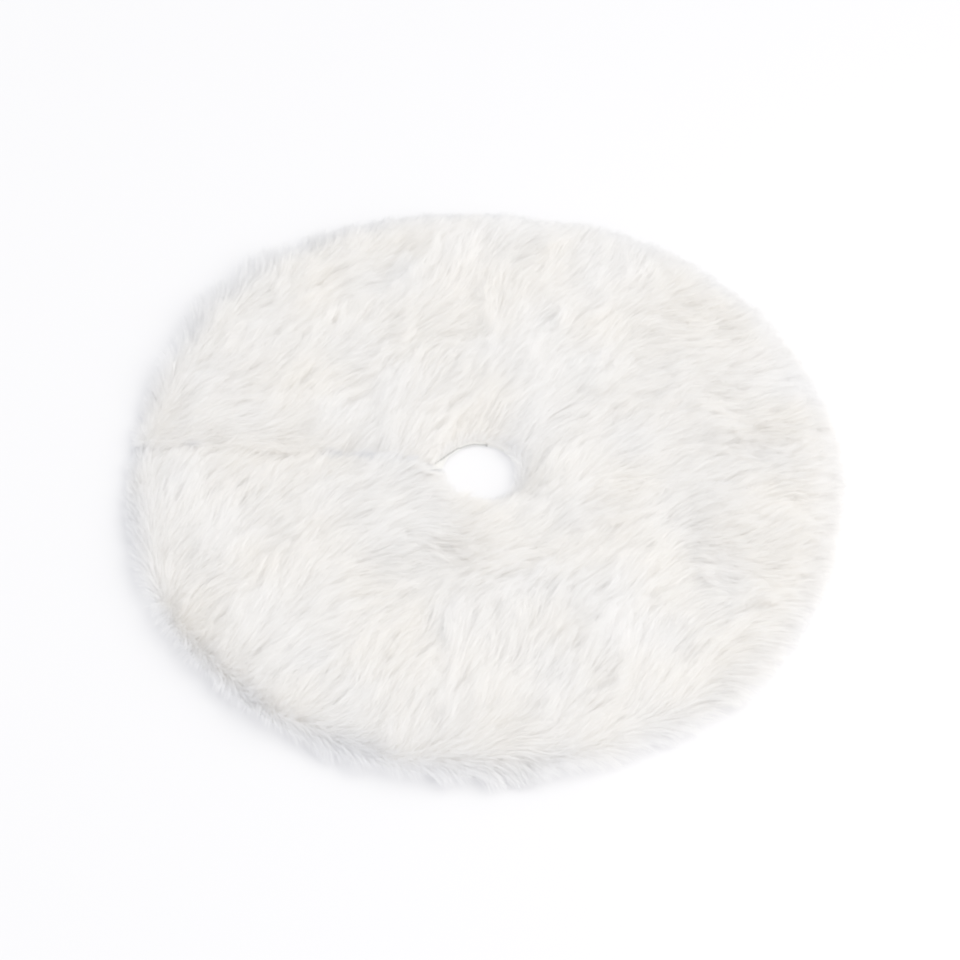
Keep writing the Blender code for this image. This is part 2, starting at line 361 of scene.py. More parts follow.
def outward_at_hole(x, y, r):
    """How strongly the pile points away from the hole, or over its edge where this is negative."""
    near = 1 - smoothstep(0.052, 0.080, r)
    close = 1 - smoothstep(HOLE_RADIUS, 0.058, r)
    beyond = smoothstep(-0.2, 0.7, x / r)
    in_front = smoothstep(0.3, 0.9, -y / r)
    return np.where((y > 0) & (x < 0), 0.15 * near, (-1.1 - 0.4 * beyond + 1.3 * in_front) * close)


def across_at_slit(x, y):
    """What the slit adds to the pile's way along Y: apart where it is open, together where it is closed."""
    opened = slit_open(x)
    apart = 0.30 * opened * np.exp(-((y / 0.010) ** 2))
    together = 0.50 * (1 - opened) * np.exp(-((y / 0.018) ** 2))
    return (apart - together) * np.sign(y) * (x < 0)


def comb(x, y, fallen, turn):
    """The direction (x, y) in which the pile is combed, and how strongly, from 0.25 to 1.

    fallen is the lock's own share of the fan at the hem, and turn scales the whole fan.
    """
    r = np.hypot(x, y) + 1e-9
    out_x, out_y = x / r, y / r
    way_x, way_y = brushed_way(x, y)
    way_x, way_y = turned(way_x, way_y, SWIRL_TURN * swirl(x, y) + RIPPLE_TURN * ripple(x, y))
    agrees = smoothstep(-0.9, 0.5, way_x * out_x + way_y * out_y)
    fan = FAN_STRENGTH + FAN_WHERE_OUTWARD * agrees + FAN_OF_FALLEN * fallen
    outward = turn * fan * smoothstep(FAN_FROM - FAN_SOONER * agrees, FAN_TO, r)
    outward = outward + outward_at_hole(x, y, r)
    from_crease = CREASE_PUSH * np.exp(-((x / CREASE_REACH) ** 2)) * np.tanh(x / CREASE_TURN)
    way_x = way_x + outward * out_x + from_crease
    way_y = way_y + outward * out_y + across_at_slit(x, y)
    size = np.hypot(way_x, way_y) + 1e-9
    return way_x / size, way_y / size, np.clip(size, 0.25, 1)


def settled(x, y):
    """How far the layers lie above their lowest place: in waves, and on the flap up over the closure."""
    r = np.hypot(x, y)
    inner = smoothstep(HOLE_RADIUS, 0.095, r) * (1 - smoothstep(0.405, CLOTH_RADIUS, r))
    wave = WAVE_HEIGHT * (1 + height_noise(x, y)) * inner
    along = smoothstep(0.026, 0.046, -x) * (1 - smoothstep(0.436, 0.447, -x))
    beside = 1 - smoothstep(POCKET_WIDTH, POCKET_WIDTH + 0.014, y)
    over_closure = along * beside * (y > 0)
    at_rim = (1 - smoothstep(0.050, 0.085, r)) * smoothstep(0.002, 0.014, -x) * (y > 0)
    return np.maximum(wave * (1 - over_closure) + CLOSURE_LIFT * over_closure, RIM_LIFT * at_rim)


def lifted(height):
    """A height that follows the layers' waves, as a function of x and y."""
    return lambda x, y: height + settled(x, y)


def curve_of(x, y, way_x, way_y, length, first_lean, last_lean, steps):
    """Points (fibre, step, xyz) of curves that leave the cloth at one lean and end at another."""
    t = np.linspace(0, 1, steps + 1)
    middle = (t[1:] + t[:-1]) / 2
    lean = first_lean[:, None] + (last_lean - first_lean)[:, None] * middle[None]
    piece = length[:, None] / steps
    along = np.concatenate([np.zeros((len(x), 1)), np.cumsum(np.sin(lean) * piece, 1)], 1)
    up = np.concatenate([np.zeros((len(x), 1)), np.cumsum(np.cos(lean) * piece, 1)], 1)
    points = np.empty((len(x), steps + 1, 3))
    points[:, :, 0] = x[:, None] + way_x[:, None] * along
    points[:, :, 1] = y[:, None] + way_y[:, None] * along
    points[:, :, 2] = (GROUND_TOP - 0.0003 + settled(x, y))[:, None] + up
    return points


def turned(way_x, way_y, angle):
    c, s = np.cos(angle), np.sin(angle)
    return way_x * c - way_y * s, way_x * s + way_y * c


def lean_of(x, y, way_x, way_y, strength):
    """Lean from upright at the root and at the tip, in radians."""
    r = np.hypot(x, y)
    outness = (way_x * x + way_y * y) / (r + 1e-9)
    hem = smoothstep(0.400, CLOTH_RADIUS, r) * (1 - 0.35 * shaded_side(x, y))
    causes = {
        "least": 1,
        "combed": strength,
        "hem": hem * smoothstep(-0.5, 0.4, outness),
        "crease": np.exp(-((x / CREASE_LEAN_REACH) ** 2)),
        "hole": 1 - smoothstep(HOLE_RADIUS, 0.060, r),
    }
    uneven = SWELL_LEAN * lean_swell(x, y) + RIPPLE_LEAN * lean_ripple(x, y)
    root, tip = [sum(lean[key] * share for key, share in causes.items()) for lean in (ROOT_LEAN, TIP_LEAN)]
    return np.radians(root + uneven), np.radians(tip + uneven)


def shaded_side(x, y):
    """1 where the hem faces away from the pile's way, at the front left, and 0 on the other side."""
    return smoothstep(-0.1, 0.8, -(0.87 * x + 0.49 * y) / (np.hypot(x, y) + 1e-9))


def length_of(x, y):
    r = np.hypot(x, y)
    hem = smoothstep(0.40, CLOTH_RADIUS, r)
    hole = 1 - smoothstep(HOLE_RADIUS, HOLE_RADIUS + 0.035, r)
    slit = np.exp(-((y / 0.012) ** 2)) * (x < 0)
    at_hem = further(x, y) / REACH_OF_LENGTH - SHORTER["hem"] - SHORTER["shaded"] * shaded_side(x, y)
    at_slit = SHORTER["slit"] + SHORTER["opening"] * slit_open(x)
    length = FIBRE_LENGTH * (1 + at_hem * hem) * (1 - SHORTER["hole"] * hole) * (1 - at_slit * slit)
    return length * (1 - SHORTER["corner"] * bare_corner(x, y))


def grow(seed, spacing, steps, share, gather, turn):
    """A coat's fibres, with shares of the full length, of the gathering in locks and of the fan at the hem.

    Returns the points (fibre, step, xyz), the roots' x and y, and each fibre's tone.
    """
    rng = np.random.default_rng(seed)
    x, y = scatter(seed + 1, spacing)
    count = len(x)
    lock, lock_x, lock_y = locks.nearest(x, y)
    tuft, _, _ = tufts.nearest(x, y)
    fallen = locks.values("fallen", lock, 0, 1)

    way_x, way_y, strength = comb(lock_x, lock_y, fallen, turn)
    lock_turn = locks.values("turn", lock, -LOCK_TURN, LOCK_TURN)
    lock_way = turned(way_x, way_y, lock_turn)
    root_lean, tip_lean = lean_of(lock_x, lock_y, way_x, way_y, strength)
    lock_lean = locks.values("lean", lock, -LOCK_LEAN, LOCK_LEAN)
    lock_size = locks.values("size", lock, *LOCK_SIZES)
    lock_length = length_of(lock_x, lock_y) * lock_size * share
    leans = (root_lean + lock_lean, tip_lean + lock_lean)
    lock_curve = curve_of(lock_x, lock_y, *lock_way, lock_length, *leans, steps)

    way_x, way_y, strength = comb(x, y, fallen, turn)
    tuft_turn = tufts.values("turn", tuft, -TUFT_TURN, TUFT_TURN)
    own_way = turned(way_x, way_y, lock_turn + tuft_turn + rng.normal(0, FIBRE_TURN, count))
    tuft_lean = tufts.values("lean", tuft, -TUFT_LEAN, TUFT_LEAN)
    own_lean = lock_lean + tuft_lean + rng.normal(0, FIBRE_LEAN, count)
    own_size = tufts.values("size", tuft, *TUFT_SIZES) * rng.uniform(*FIBRE_SIZES, count)
    own_length = length_of(x, y) * lock_size * own_size * share
    root_lean, tip_lean = lean_of(x, y, way_x, way_y, strength)
    own_curve = curve_of(x, y, *own_way, own_length, root_lean + own_lean, tip_lean + own_lean, steps)

    spread = np.empty((count, 1, 3))
    spread[:, 0, 0] = (x - lock_x) * WIDTH_KEPT_IN_LOCK + rng.normal(0, STRAY_SIDEWAYS, count)
    spread[:, 0, 1] = (y - lock_y) * WIDTH_KEPT_IN_LOCK + rng.normal(0, STRAY_SIDEWAYS, count)
    spread[:, 0, 2] = rng.normal(0, STRAY_UP, count)
    t = np.linspace(0, 1, steps + 1)[None, :, None]
    hold = gather * locks.values("hold", lock, *LOCK_HOLDS)[:, None, None] * t**HOLD_GROWTH
    points = own_curve * (1 - hold) + (lock_curve + spread) * hold
    points = parted(points, x, y, rng)
    points = kept_in(points, locks.values("end", lock, *LOCK_ENDS), rng)
    tone = LOCK_TONE * locks.values("tone", lock, -1, 1) + FIBRE_TONE * rng.uniform(-1, 1, count)
    return points, x, y, tone + SWELL_TONE * tone_swell(x, y)


def painted_shade_at(x, y, places):
    """How much painted shade each of a fibre's vertices takes, from 0 to 1: at the hem, most on the side
    away from the light, at the foot of the front hem, round the hole and in the open slit.
    """
    r = np.hypot(x, y)[:, None] + 1e-9
    x, y = x[:, None], y[:, None]
    place_x, place_y, height = places[:, :, 0], places[:, :, 1], places[:, :, 2]
    reach = np.hypot(place_x, place_y)
    # Painted shade at the hem: greyest where the hem faces away from the light, at the front left and the
    # upper left, and less on the lit side.
    upper_left = 0.75 * smoothstep(-0.1, 0.7, (0.85 * y - 0.5 * x) / r)
    side = np.maximum(shaded_side(x, y), upper_left)
    side = RIM_LIT_SHARE + (1 - RIM_LIT_SHARE) * side
    at_hem = RIM_PAINTED_SHADE * smoothstep(RIM_FROM, RIM_TO, reach + 0.008 * tone_swell(x, y)) * side
    # Painted contact shadow: low fibres at the front hem, near the floor, go greyer.
    in_front = smoothstep(0.440, 0.456, reach) * smoothstep(-0.1, 0.7, -y / r)
    foot_painted_shadow = 0.9 * in_front * smoothstep(0.0, 1.0, (0.009 - height) / 0.008)
    # Painted shade round the hole's edge, stronger on its right side, where the pile's roots lie in shade.
    to_right = smoothstep(-0.3, 0.6, (x - 0.3 * y) / r)
    painted_shade_by_hole = (1 - smoothstep(0.052, 0.064, r)) * (0.28 + 0.22 * to_right)
    # Painted shade in the open slit: fibres beside the gap go grey, as the slot's shade.
    painted_shade_in_slit = slit_open(place_x) * (1 - smoothstep(0.0020, 0.0050, np.abs(place_y))) * (place_x < -0.045)
    return np.clip(np.maximum(np.maximum(at_hem, painted_shade_by_hole), painted_shade_in_slit) + foot_painted_shadow, 0, 1)


def parted(points, x, y, rng):
    """Fibres keep to their own side of the slit where it is open, and on the flap out of the hole."""
    far, near, close, end = SLOPED_X
    slopes = smoothstep(far, near, x) * (1 - smoothstep(close, end, x))
    opened = np.maximum(slit_open(x), slopes)
    front_over = FRONT_OVER[0] + FRONT_OVER[1] * rng.uniform(0, 1, len(x))
    back_over = BACK_OVER[0] + BACK_OVER[1] * rng.uniform(0, 1, len(x))
    front_limit = (1 - opened) * front_over - 0.0010 * opened - 0.0004
    back_limit = 0.0006 + 0.0016 * opened - (1 - opened) * back_over
    sloped = SLOPE * slopes[:, None] * np.maximum(points[:, :, 2] - 0.0055, 0)
    beside_slit = x < -HOLE_RADIUS * 0.9
    front = (beside_slit & (y < 0))[:, None]
    back = (beside_slit & (y > 0))[:, None]
    across = points[:, :, 1]
    across = np.where(front, np.minimum(across, front_limit[:, None] - sloped), across)
    points[:, :, 1] = np.where(back, np.maximum(across, back_limit[:, None]), across)
    on_flap = ((x < 0) & (y > 0))[:, None]
    r = np.hypot(points[:, :, 0], points[:, :, 1])
    outward = np.where(on_flap, np.maximum(HOLE_RADIUS + 0.0004, r) / np.maximum(r, 1e-9), 1.0)
    points[:, :, :2] *= outward[:, :, None]
    return points


def kept_in(points, uneven, rng):
    """Fibres end inside the pile's outline and above the floor."""
    r = np.hypot(points[:, :, 0], points[:, :, 1])
    most = PILE_EDGE + OVER_EDGE + further(points[:, :1, 0], points[:, :1, 1])
    most = most + uneven[:, None] + rng.uniform(-0.003, 0.003, len(points))[:, None]
    over = np.maximum(r - most, 0)
    points[:, :, :2] *= ((r - 0.85 * over) / np.maximum(r, 1e-9))[:, :, None]
    least = 0.0008 + 0.0026 * rng.uniform(0, 1, len(points))[:, None]
    height = np.maximum(points[:, :, 2], least)
    top = PILE_TOP + OVER_TOP
    points[:, :, 2] = np.where(height > top, top + 0.2 * (height - top), height)
    return points


def ribbons(points, seed, across):
    """Tapered ribbons along the fibres: vertices (fibre, vertex, xyz), and their share of the length."""
    rng = np.random.default_rng(seed)
    count, steps = len(points), points.shape[1] - 1
    tangent = points[:, -1] - points[:, 0]
    tangent /= np.linalg.norm(tangent, axis=1)[:, None] + 1e-12
    up = np.tile(np.array([0.0, 0.0, 1.0]), (count, 1))
    side = np.cross(up, tangent)
    side /= np.linalg.norm(side, axis=1)[:, None] + 1e-12
    other = np.cross(tangent, side)
    roll = rng.normal(0, 0.55, count)[:, None]
    side = side * np.cos(roll) + other * np.sin(roll)
    width = across * rng.uniform(0.7, 1.15, count)[:, None] / 2
    made = np.empty((count, 2 * steps + 1, 3))
    for step in range(steps):
        share = step / steps
        reach = side * width * (1 - 0.55 * share**2)
        made[:, 2 * step] = points[:, step] - reach
        made[:, 2 * step + 1] = points[:, step] + reach
    made[:, -1] = points[:, -1]
    share = np.append(np.repeat(np.arange(steps) / steps, 2), 1.0)
    return made, share


def ribbon_faces(steps):
    faces = []
    for step in range(steps - 1):
        a = 2 * step
        faces += [(a, a + 1, a + 3), (a, a + 3, a + 2)]
    last = 2 * steps
    faces.append((last - 2, last - 1, last))
    return np.array(faces)


def mesh_object(name, vertices, faces, material, sharp=True):
    """An object from arrays of vertices (n, 3) and of triangles or quads (m, 3 or 4)."""
    mesh = bpy.data.meshes.new(name)
    corners = faces.shape[1]
    mesh.vertices.add(len(vertices))
    mesh.vertices.foreach_set("co", np.ascontiguousarray(vertices, np.float32).ravel())
    mesh.loops.add(faces.size)
    mesh.loops.foreach_set("vertex_index", np.ascontiguousarray(faces, np.int32).ravel())
    mesh.polygons.add(len(faces))
    mesh.polygons.foreach_set("loop_start", np.arange(0, faces.size, corners, dtype=np.int32))
    mesh.polygons.foreach_set("use_smooth", np.ones(len(faces), bool))
    mesh.update(calc_edges=True)
    if sharp:
        mesh.set_sharp_from_angle(angle=math.radians(45))
    mesh.materials.append(material)
    piece = bpy.data.objects.new(name, mesh)
    bpy.context.scene.collection.objects.link(piece)
    return piece


def set_attribute(piece, name, values):
    attribute = piece.data.attributes.new(name, "FLOAT", "POINT")
    attribute.data.foreach_set("value", np.ascontiguousarray(values, np.float32).ravel())


def make_fur(material):
    """The pile and the shorter, wider fibres under it, in one piece for each sector of the ring."""
    coats = []
    under_shares = (UNDER_LENGTH_SHARE, UNDER_GATHER_SHARE, UNDER_FAN_SHARE)
    upper = (41, FIBRE_SPACING, FIBRE_STEPS, (1.0, 1.0, 1.0), FIBRE_WIDTH)
    under = (51, UNDER_SPACING, UNDER_STEPS, under_shares, UNDER_WIDTH)
    for seed, spacing, steps, shares, across in (upper, under):
        points, x, y, tone = grow(seed, spacing, steps, *shares)
        vertices, along = ribbons(points, seed + 1, across)
        values = {
            "along": np.broadcast_to(along, vertices.shape[:2]),
            "tone": np.broadcast_to(tone[:, None], vertices.shape[:2]),
            "tint": np.broadcast_to(tint_swell(x, y)[:, None], vertices.shape[:2]),
            # The painted shade of each vertex, which the fur's material mixes in as a cool grey.
            "painted_shade": painted_shade_at(x, y, vertices),
        }
        coats.append((vertices, ribbon_faces(steps), np.degrees(np.arctan2(y, x)), values))
    pieces = {ROOT: [], FLAP: []}
    for number, start in enumerate(range(-180, 180, SECTOR_ANGLE), 1):
        places, faces, made = [], [], 0
        attributes = {"along": [], "tone": [], "tint": [], "painted_shade": []}
        for vertices, pattern, angles, values in coats:
            rows = np.flatnonzero((angles >= start) & (angles < start + SECTOR_ANGLE))
            first = np.arange(len(rows))[:, None, None] * vertices.shape[1] + made
            faces.append((first + pattern[None]).reshape(-1, 3))
            places.append(vertices[rows].reshape(-1, 3))
            made += len(places[-1])
            for name, parts in attributes.items():
                parts.append(values[name][rows].ravel())
        places, faces = np.concatenate(places), np.concatenate(faces)
        piece = mesh_object(f"fur_{number:02d}", places, faces, material, sharp=False)
        for name, parts in attributes.items():
            set_attribute(piece, name, np.concatenate(parts))
        pieces[FLAP if start >= 90 else ROOT].append(piece)
    return pieces


# Materials.


MATH = "ShaderNodeMath"
VECTOR_MATH = "ShaderNodeVectorMath"


def new_material(name, roughness):
    material = bpy.data.materials.new(name)
    material.use_nodes = True
    tree = material.node_tree
    shader = tree.nodes["Principled BSDF"]
    shader.inputs["Roughness"].default_value = roughness
    return material, tree, shader


def maths(tree, kind, operation, *inputs):
    """A Math or Vector Math node's outputs. Each input is a socket to link, a value to set, or None."""
    node = tree.nodes.new(kind)
    node.operation = operation
    for socket, given in zip(node.inputs, inputs):
        if isinstance(given, bpy.types.NodeSocket):
            tree.links.new(given, socket)
        elif given is not None:
            socket.default_value = given
    return node.outputs


def fur_material():
    """White fibres: a little darker at the root, uneven in tone and tint, with a cool grey painted shade
    mixed in at the pile's edges, round the hole and in the slit.
    """
    material, tree, shader = new_material("fur_fibres", 0.62)

    def attribute(name):
        node = tree.nodes.new("ShaderNodeAttribute")
        node.attribute_name = name
        return node.outputs

    ramp = tree.nodes.new("ShaderNodeValToRGB")
    ramp.color_ramp.elements[0].color = (0.980, 0.963, 0.942, 1)
    ramp.color_ramp.elements[1].color = (0.989, 0.976, 0.960, 1)
    ramp.color_ramp.elements[1].position = 0.75
    tree.links.new(attribute("along")["Fac"], ramp.inputs["Fac"])
    tone = maths(tree, MATH, "MULTIPLY_ADD", attribute("tone")["Fac"], 0.009, 0.988)[0]
    toned = maths(tree, VECTOR_MATH, "SCALE", ramp.outputs["Color"], None, None, tone)[0]
    yellower, whole = (0.0, -0.006, -0.018), (1.0, 1.0, 1.0)
    tint = maths(tree, VECTOR_MATH, "MULTIPLY_ADD", attribute("tint")["Vector"], yellower, whole)[0]
    tinted = maths(tree, VECTOR_MATH, "MULTIPLY", toned, tint)[0]
    # Painted shade: the cool grey below is mixed in as far as each vertex's painted shade goes.
    painted_shade_mix = tree.nodes.new("ShaderNodeMix")
    painted_shade_mix.data_type = "RGBA"
    painted_shade_mix.inputs["B"].default_value = (0.745, 0.755, 0.790, 1)
    tree.links.new(attribute("painted_shade")["Fac"], painted_shade_mix.inputs["Factor"])
    tree.links.new(tinted, painted_shade_mix.inputs["A"])
    colour = painted_shade_mix.outputs["Result"]
    tree.links.new(colour, shader.inputs["Base Color"])
    shader.inputs["Specular IOR Level"].default_value = 0.25
    through = tree.nodes.new("ShaderNodeBsdfTranslucent")
    tree.links.new(colour, through.inputs["Color"])
    shares = tree.nodes.new("ShaderNodeMixShader")
    shares.inputs[0].default_value = 0.50
    tree.links.new(shader.outputs[0], shares.inputs[1])
    tree.links.new(through.outputs[0], shares.inputs[2])
    tree.links.new(shares.outputs[0], tree.nodes["Material Output"].inputs["Surface"])
    return material


def woven_material(name, dark, light, roughness, sheen, scales, bump_distance, bands="X"):
    """Cloth: two crossed sets of fine ribs for its weave or knit, and slow unevenness in its tone."""
    material, tree, shader = new_material(name, roughness)
    shader.inputs["Sheen Weight"].default_value = sheen
    place = tree.nodes.new("ShaderNodeTexCoord")
    ribs = []
    for direction, scale in zip((bands, "Y"), scales):
        wave = tree.nodes.new("ShaderNodeTexWave")
        wave.bands_direction = direction
        wave.inputs["Scale"].default_value = scale
        wave.inputs["Distortion"].default_value = 0.6
        tree.links.new(place.outputs["Object"], wave.inputs["Vector"])
        ribs.append(wave.outputs["Fac"])
    crossed = maths(tree, MATH, "MULTIPLY", *ribs)[0]
    uneven = tree.nodes.new("ShaderNodeTexNoise")
    uneven.inputs["Scale"].default_value = 9.0
    uneven.inputs["Detail"].default_value = 5.0
    tree.links.new(place.outputs["Object"], uneven.inputs["Vector"])
    blotches = maths(tree, MATH, "MULTIPLY", uneven.outputs["Fac"], 0.55)[0]
    total = maths(tree, MATH, "MULTIPLY_ADD", crossed, 0.45, blotches)[0]
    ramp = tree.nodes.new("ShaderNodeValToRGB")
    ramp.color_ramp.elements[0].color = (*dark, 1)
    ramp.color_ramp.elements[1].color = (*light, 1)
    tree.links.new(total, ramp.inputs["Fac"])
    tree.links.new(ramp.outputs["Color"], shader.inputs["Base Color"])
    bump = tree.nodes.new("ShaderNodeBump")
    bump.inputs["Strength"].default_value = 0.35
    bump.inputs["Distance"].default_value = bump_distance
    tree.links.new(crossed, bump.inputs["Height"])
    tree.links.new(bump.outputs["Normal"], shader.inputs["Normal"])
    return material


def make_materials():
    """The fur's material and the cloths': see woven_material for the order of the values."""
    ivory, white, off_white = (0.86, 0.845, 0.81), (0.90, 0.895, 0.88), (0.80, 0.795, 0.78)
    cool, grey, pale_grey = (0.84, 0.845, 0.85), (0.30, 0.30, 0.29), (0.74, 0.735, 0.72)
    cloths = {
        "knit": ("knit_ground", (0.74, 0.73, 0.70), ivory, 0.9, 0.2, (260, 180), 0.0004),
        "lining": ("satin_lining", (0.62, 0.615, 0.60), off_white, 0.42, 0.15, (420, 420), 0.0002),
        "tape": ("twill_tape", (0.80, 0.79, 0.77), white, 0.75, 0.1, (330, 500), 0.0003, "DIAGONAL"),
        "hook": ("hook_nylon", (0.74, 0.75, 0.76), cool, 0.32, 0.0, (300, 300), 0.0001),
        "loop": ("loop_pile", (0.78, 0.78, 0.77), white, 0.92, 0.4, (500, 500), 0.0002),
        "label": ("label_satin", (0.80, 0.80, 0.79), white, 0.35, 0.0, (700, 300), 0.0001),
        # Painted shadow: the edge cord's dark grey stands in for the thin shadow line under the flap's
        # lifted edge.
        "cord": ("edge_cord_painted_shadow", (0.17, 0.17, 0.17), grey, 0.8, 0.0, (900, 900), 0.0002),
        "thread": ("sewing_thread", (0.60, 0.60, 0.58), pale_grey, 0.55, 0.0, (900, 900), 0.0001),
    }
    made = {key: woven_material(*values) for key, values in cloths.items()}
    made["fur"] = fur_material()
    return made


def layered(name, x, y, low, high, material):
    """A closed sheet over a grid of x and y, (rows, columns), from heights low(x, y) to high(x, y)."""
    top = np.stack([x, y, high(x, y)], -1).reshape(-1, 3)
    bottom = np.stack([x, y, low(x, y)], -1).reshape(-1, 3)
    rows, columns = x.shape
    index = np.arange(rows * columns).reshape(rows, columns)
    below = index + rows * columns

    def strip(a0, a1, b1, b0):
        return np.stack([a0.ravel(), a1.ravel(), b1.ravel(), b0.ravel()], -1)

    faces = [
        strip(index[:-1, :-1], index[1:, :-1], index[1:, 1:], index[:-1, 1:]),
        strip(below[:-1, :-1], below[:-1, 1:], below[1:, 1:], below[1:, :-1]),
        strip(index[0, :-1], index[0, 1:], below[0, 1:], below[0, :-1]),
        strip(index[-1, 1:], index[-1, :-1], below[-1, :-1], below[-1, 1:]),
        strip(index[1:, 0], index[:-1, 0], below[:-1, 0], below[1:, 0]),
        strip(index[:-1, -1], index[1:, -1], below[1:, -1], below[:-1, -1]),
    ]
    faces = np.concatenate(faces)
    by_row = (x[1, 0] - x[0, 0], y[1, 0] - y[0, 0])
    by_column = (x[0, 1] - x[0, 0], y[0, 1] - y[0, 0])
    if by_row[0] * by_column[1] - by_row[1] * by_column[0] < 0:
        faces = faces[:, ::-1]
    return mesh_object(name, np.concatenate([top, bottom]), faces, material)


def ring_grid(first, last, radii, rows):
    """x and y of a grid over a sector, drawn in from the slit's line by half its gap."""
    across = np.linspace(radii[0], radii[1], rows)
    around = np.radians(np.linspace(first, last, int((last - first) / ARC_STEP) + 1))
    r, a = np.meshgrid(across, around, indexing="ij")
    x, y = r * np.cos(a), r * np.sin(a)
    at_slit = np.isclose(np.abs(a), math.pi)
    y = np.where(at_slit, np.sign(a) * SLIT_HALF_GAP, y)
    return x, y


def box_grid(x_span, y_span, step):
    across = np.linspace(*x_span, int((x_span[1] - x_span[0]) / step) + 1)
    along = np.linspace(*y_span, max(int((y_span[1] - y_span[0]) / step), 2) + 1)
    return np.meshgrid(across, along, indexing="ij")


def level(height):
    return lambda x, y: np.full(x.shape, height)


def swept(name, profile, first, last, material):
    """A closed section of (r, z) points swept about Z between two angles."""
    angles = np.radians(np.linspace(first, last, int((last - first) / ARC_STEP) + 1))
    profile = np.array(profile)
    count = len(profile)
    x = profile[None, :, 0] * np.cos(angles)[:, None]
    y = profile[None, :, 0] * np.sin(angles)[:, None]
    z = np.broadcast_to(profile[None, :, 1], x.shape)
    at_slit = np.isclose(np.abs(angles), math.pi)[:, None]
    y = np.where(at_slit, np.sign(angles)[:, None] * SLIT_HALF_GAP, y)
    index = np.arange(len(angles) * count).reshape(len(angles), count)
    onward = np.roll(index, -1, axis=1)
    faces = np.stack([index[:-1], onward[:-1], onward[1:], index[1:]], -1).reshape(-1, 4)
    triangles = np.concatenate([faces[:, [0, 1, 2]], faces[:, [0, 2, 3]]])
    fan = np.array([(0, i + 1, i) for i in range(1, count - 1)])
    triangles = np.concatenate([triangles, fan, index[-1, 0] + fan[:, ::-1]])
    return mesh_object(name, np.stack([x, y, z], -1).reshape(-1, 3), triangles, material)


def tube(path, radius, sides, beside=(0.0, 1.0, 0.0)):
    """Vertices and triangles of a thin open tube along a path that never runs along `beside`."""
    path = np.array(path, float)
    ahead = np.gradient(path, axis=0)
    ahead /= np.linalg.norm(ahead, axis=1)[:, None]
    across = np.cross(ahead, beside)
    across /= np.linalg.norm(across, axis=1)[:, None]
    other = np.cross(ahead, across)
    angles = np.arange(sides) * 2 * math.pi / sides
    ring = np.cos(angles)[None, :, None] * across[:, None] + np.sin(angles)[None, :, None] * other[:, None]
    vertices = (path[:, None] + radius * ring).reshape(-1, 3)
    index = np.arange(len(path) * sides).reshape(len(path), sides)
    onward = np.roll(index, -1, axis=1)
    quads = np.stack([index[:-1], index[1:], onward[1:], onward[:-1]], -1).reshape(-1, 4)
    return vertices, np.concatenate([quads[:, [0, 1, 2]], quads[:, [0, 2, 3]]])


def copies(shape, places, yaws):
    """Many copies of one small shape, each turned about Z and set at its place."""
    vertices, faces = shape
    places, c, s = np.array(places, float), np.cos(yaws), np.sin(yaws)
    made = np.empty((len(places), len(vertices), 3))
    made[:, :, 0] = c[:, None] * vertices[None, :, 0] - s[:, None] * vertices[None, :, 1]
    made[:, :, 1] = s[:, None] * vertices[None, :, 0] + c[:, None] * vertices[None, :, 1]
    made[:, :, 2] = vertices[None, :, 2]
    made += places[:, None]
    index = faces[None] + np.arange(len(places))[:, None, None] * len(vertices)
    return made.reshape(-1, 3), index.reshape(-1, 3)


def make_cloths(knit, lining):
    """Ground cloth and lining, each in a part that stays down and a part that lifts."""
    ground = ("ground", knit, 0.0, (GROUND_LOW, GROUND_TOP))
    lining = ("lining", lining, LINING_INSET, (LINING_LOW, LINING_TOP))
    made = {}
    for cloth, material, inset, heights in (ground, lining):
        low, high = [lifted(height) for height in heights]
        for part, span in PARTS.items():
            grid = ring_grid(*span, (HOLE_RADIUS + inset, CLOTH_RADIUS - inset), CLOTH_ROWS)
            made[cloth, part] = layered(f"{cloth}_cloth_{part}", *grid, low, high, material)
    return made


def facing_section(edge, inward, high):
    """A tape turned over the cloth's edge: its flat leg underneath, and its lip, rounded at the top."""
    far = edge + inward * FACING_WIDTH
    near = edge - inward * 0.0003
    out = edge - inward * LIP_OUT
    return [
        (far, 0.0002),
        (out + inward * 0.0004, 0.0002),
        (out, 0.0007),
        (out, high - 0.0004),
        (out + inward * 0.0003, high),
        (near, high - 0.0001),
        (near, 0.0008),
        (far, 0.0008),
    ]


def make_facings(material):
    hem = facing_section(CLOTH_RADIUS, -1, 0.0034)
    hole = facing_section(HOLE_RADIUS, 1, 0.0030)
    made = {}
    for part, span in PARTS.items():
        made["hem", part] = swept(f"hem_facing_tape_{part}", hem, *span, material)
        made["hole", part] = swept(f"hole_facing_tape_{part}", hole, *span, material)
    lift_with_cloth(made["hole", "flap"])
    return made


def lift_with_cloth(piece):
    """Moves a piece's points up with the layers that it is sewn to."""
    count = len(piece.data.vertices)
    places = np.empty(count * 3, np.float32)
    piece.data.vertices.foreach_get("co", places)
    places = places.reshape(-1, 3)
    places[:, 2] += settled(places[:, 0], places[:, 1])
    piece.data.vertices.foreach_set("co", places.ravel())
    piece.data.update()


def spans_of(node):
    """The x, y and z spans of a CAD node."""
    low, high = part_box(node)
    return [(low[axis], high[axis]) for axis in range(3)]


